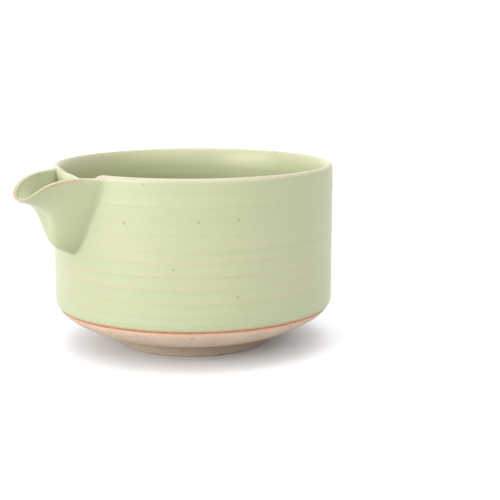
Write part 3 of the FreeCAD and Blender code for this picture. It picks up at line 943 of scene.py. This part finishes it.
def make_spout():
    """Closed shell of the spout: outside, lip, channel, and a root inside the wall."""
    root = np.linspace(-ROOT_LONG, 0.0, ROOT_ROWS)[:-1]
    part = np.concatenate([root, np.linspace(0, 1, SPOUT_ROWS)])
    side = np.linspace(1, -1, SPOUT_ACROSS)
    turn = np.linspace(0, math.pi, LIP_ACROSS + 2)[1:-1]
    loop, outer_lip = spout_loop(part, side, turn)
    # Where each point of a row is: over the lip from 0 outside to 1 in the channel, and
    # on which side.
    over = np.concatenate([np.zeros(SPOUT_ACROSS), turn / math.pi,
                           np.ones(SPOUT_ACROSS), turn[::-1] / math.pi])[None, :]
    far = np.ones(LIP_ACROSS)
    sides = np.concatenate([side, -far, -side, far])[None, :]
    sink = np.clip(-sides, 0, 1) ** 2 * (1 - smooth(part, 0.0, 0.3))[:, None]
    loop = loop + sink[..., None] * NEAR_SINK
    # Soften the corner on the wall, outside and over the lip.
    up = loop[..., 2]
    angle = np.arctan2(loop[..., 1], -loop[..., 0])
    radius = np.hypot(loop[..., 0], loop[..., 1])
    wall = wall_surface(angle, up) - 0.02
    fade = 1 - smooth(-part, 0.02, ROOT_LONG)
    reach = BLEND_LOW + (BLEND_TOP - BLEND_LOW) * smooth(up, 52, 74)
    blended = soft_max(radius, wall, reach * fade[:, None])
    wide = radius + (blended - radius) * (1 - smooth(over, 0.3, 0.9))
    # Out is away from the bowl's axis towards -X.
    out = wide * np.cos(math.pi - angle)
    points = np.stack([-out, wide * np.sin(angle), up], axis=-1)
    marks = spout_marks(loop, outer_lip, part, over, sides, radius - wall)
    rows, columns = loop.shape[:2]
    faces = grid_faces(rows, columns, False, True) + root_cap(SPOUT_ACROSS, LIP_ACROSS)
    values = {mark: value.reshape(-1) for mark, value in marks.items()}
    piece = make_mesh("spout_shell", points.reshape(-1, 3), faces, values, glaze)
    weld(piece, 2e-6)
    return piece


def outer_lip_of(loop, outer_lip):
    """The outer lip on the same side as each point of the loop."""
    lips = np.repeat(outer_lip[:, None], loop.shape[1], axis=1)
    lips[..., 1] *= np.where(loop[..., 1] < 0, -1, 1)
    return lips


def root_cap(across, over):
    """Faces that close the root, between the first row's outside and channel."""
    faces = []
    channel = across + over
    for index in range(across - 1):
        facing = channel + across - 1 - index
        faces.append([index + 1, index, facing, facing - 1])
    faces.append(list(range(across - 1, channel + 1))[::-1])
    end = channel + across
    faces.append([0] + list(range(end - 1, end + over))[::-1])
    return faces


spout = make_spout()
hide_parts("spout", "spout_glaze", "luting_coil")
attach(spout, "root")


# ---- stage, light and camera ---------------------------------------------------------
CAMERA_AZIMUTH = -35.5
CAMERA_DISTANCE = 0.5073                 # metres from the bowl's axis
CAMERA_HEIGHT = 0.136                    # metres above the table
CAMERA_PITCH, CAMERA_YAW = 0.187, 0.050  # radians, down and to the right of the axis
LENS, SENSOR = 82.2888, 36.0             # millimetres
# Azimuth, elevation and strength of the screens: front, right, behind, left and above.
SCREENS = [(CAMERA_AZIMUTH, 0, 0.6), (CAMERA_AZIMUTH + 90, 0, 0.66), (CAMERA_AZIMUTH + 190, 0, 1.65),
           (CAMERA_AZIMUTH - 90, 0, 0.9), (0, 90, 1.65)]
# Name, azimuth, elevation, distance in metres, width and height in metres, watts.
LIGHTS = [("key", -90, 18, 1.1, (0.9, 0.6), 11.2),
          ("fill", -4, 30, 1.2, (1.2, 0.6), 5.4),
          ("top", -40, 86, 1.3, (1.2, 1.2), 6.5)]
FLOOR_REACH = 12.0                       # metres from the bowl to the floor's edges
FLOOR_COLOUR, FLOOR_ROUGH = (0.72, 0.73, 0.75), 0.6


def make_stage():
    """Large pale floor."""
    mesh = bpy.data.meshes.new("floor")
    corners = [(x * FLOOR_REACH, y * FLOOR_REACH, 0) for x, y in ((-1, -1), (1, -1), (1, 1), (-1, 1))]
    mesh.from_pydata(corners, [], [(0, 1, 2, 3)])
    floor = bpy.data.objects.new("floor", mesh)
    bpy.context.scene.collection.objects.link(floor)
    paint = bpy.data.materials.new("floor_paint")
    paint.use_nodes = True
    surface = paint.node_tree.nodes["Principled BSDF"]
    surface.inputs["Base Color"].default_value = (*FLOOR_COLOUR, 1)
    surface.inputs["Roughness"].default_value = FLOOR_ROUGH
    mesh.materials.append(paint)


def direction(azimuth, elevation):
    a, e = math.radians(azimuth), math.radians(elevation)
    return Vector((math.sin(a) * math.cos(e), -math.cos(a) * math.cos(e), math.sin(e)))


def area_light(name, azimuth, elevation, distance, size, power):
    """Soft light, width by height, that looks at the bowl's middle."""
    light = bpy.data.lights.new(name, "AREA")
    light.shape = "RECTANGLE"
    light.size, light.size_y = size
    light.energy = power
    lamp = bpy.data.objects.new(name, light)
    bpy.context.scene.collection.objects.link(lamp)
    back = direction(azimuth, elevation)
    target = Vector((0, 0, RIM_TOP * MM / 2))
    lamp.location = target + back * distance
    lamp.rotation_mode = "QUATERNION"
    lamp.rotation_quaternion = (-back).to_track_quat("-Z", "Y")


def world_maths(tree, operation, first, second, third=0.0):
    """Result of an operation on numbers or outputs; only some operations use the third."""
    node = tree.nodes.new("ShaderNodeMath")
    node.operation = operation
    for socket, value in zip(node.inputs, (first, second, third)):
        if isinstance(value, float):
            socket.default_value = value
        else:
            tree.links.new(value, socket)
    return node.outputs["Value"]


def make_world():
    """Soft screens of light round the bowl and above it; SCREENS says how strong."""
    world = bpy.data.worlds.new("studio")
    world.use_nodes = True
    tree = world.node_tree
    place = tree.nodes.new("ShaderNodeTexCoord")
    total = 0.0
    for azimuth, elevation, strength in SCREENS:
        facing = tree.nodes.new("ShaderNodeVectorMath")
        facing.operation = "DOT_PRODUCT"
        facing.inputs[1].default_value = direction(azimuth, elevation)
        tree.links.new(place.outputs["Generated"], facing.inputs[0])
        ahead = world_maths(tree, "MAXIMUM", facing.outputs["Value"], 0.0)
        soft = world_maths(tree, "MULTIPLY", ahead, ahead)
        total = world_maths(tree, "MULTIPLY_ADD", soft, strength, total)
    tree.links.new(total, tree.nodes["Background"].inputs["Color"])
    bpy.context.scene.world = world


def make_camera():
    """Camera at the bowl's near side, spout to the left, looking slightly down."""
    azimuth = math.radians(CAMERA_AZIMUTH)
    data = bpy.data.cameras.new("camera")
    data.sensor_width = SENSOR
    data.lens = LENS
    camera = bpy.data.objects.new("camera", data)
    bpy.context.scene.collection.objects.link(camera)
    out = (math.sin(azimuth), -math.cos(azimuth))
    camera.location = (CAMERA_DISTANCE * out[0], CAMERA_DISTANCE * out[1], CAMERA_HEIGHT)
    camera.rotation_mode = "XYZ"
    camera.rotation_euler = (math.pi / 2 - CAMERA_PITCH, 0, azimuth - CAMERA_YAW)
    bpy.context.scene.camera = camera


make_stage()
make_world()
for light in LIGHTS:
    area_light(*light)
make_camera()
bpy.context.scene.view_settings.view_transform = "Standard"
